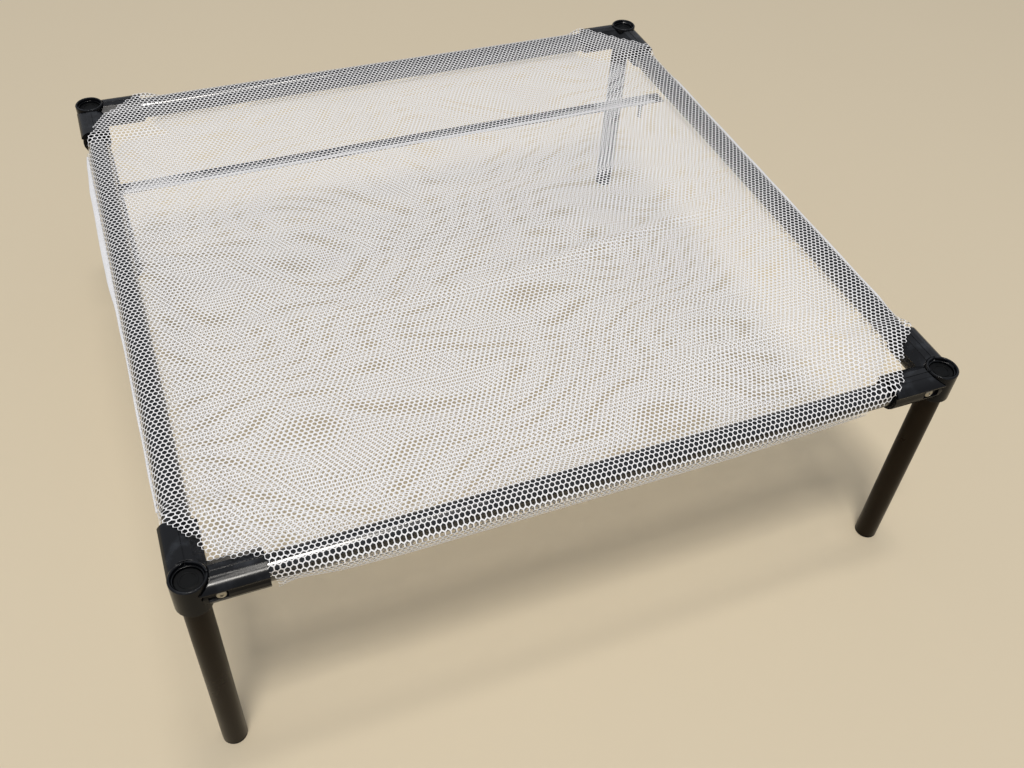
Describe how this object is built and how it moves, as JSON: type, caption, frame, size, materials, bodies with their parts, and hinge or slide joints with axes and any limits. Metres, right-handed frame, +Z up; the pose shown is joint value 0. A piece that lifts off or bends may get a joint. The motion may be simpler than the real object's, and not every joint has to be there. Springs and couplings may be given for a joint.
{
  "type": "elevated cat bed",
  "caption": "Low square pet bed: round tube frame on legs with moulded corner connectors, and a zipped net bag pulled over the rails as the lying surface.",
  "frame": {"origin": "on the floor under the middle of the bed", "axes": "+X along the front rail to the right, +Y towards the rail that the zip is near, +Z up"},
  "size_m": [0.6122, 0.608, 0.2121],
  "materials": {
    "connector": "moulded, satin",
    "cap": "moulded, matt",
    "tube": "powder coated, satin",
    "screw": "zinc plated",
    "net": "knitted polyester net",
    "hem": "folded polyester tape",
    "tape": "woven zip tape",
    "coil": "nylon coil",
    "slider": "enamelled"
  },
  "bodies": {
    "bed": {"corner_front_left": "connector", "corner_front_right": "connector", "corner_back_right": "connector", "corner_back_left": "connector", "leg_front_left": "tube", "leg_front_right": "tube", "leg_back_right": "tube", "leg_back_left": "tube", "leg_cap_front_left": "cap", "leg_cap_front_right": "cap", "leg_cap_back_right": "cap", "leg_cap_back_left": "cap", "foot_plug_front_left": "cap", "foot_plug_front_right": "cap", "foot_plug_back_right": "cap", "foot_plug_back_left": "cap", "rail_front": "tube", "rail_right": "tube", "rail_back": "tube", "rail_left": "tube", "screw_front_a": "screw", "screw_front_b": "screw", "screw_right_a": "screw", "screw_right_b": "screw", "screw_back_a": "screw", "screw_back_b": "screw", "screw_left_a": "screw", "screw_left_b": "screw", "net_top": "net", "net_lower_front": "net", "net_lower_back": "net", "net_seam_left": "net", "net_seam_right": "net", "zip_hem_front": "hem", "zip_hem_back": "hem", "zip_cover_left": "hem", "zip_cover_right": "hem", "zip_tape_front": "tape", "zip_tape_back": "tape", "zip_coil_front": "coil", "zip_coil_back": "coil", "zip_stop_left": "coil", "zip_stop_right": "coil"},
    "slider": {"zip_slider": "slider"},
    "pull": {"zip_pull": "slider"}
  },
  "joints": [
    {"name": "zip_slide", "type": "slide", "parent": "bed", "child": "slider", "axis": [1, 0, 0], "range_m": [-0.526, 0]},
    {"name": "pull_hinge", "type": "hinge", "parent": "slider", "child": "pull", "pos_m": [0.2632, 0.181, 0.1778], "axis": [0, 1, 0], "range_deg": [-80, 80]}
  ]
}
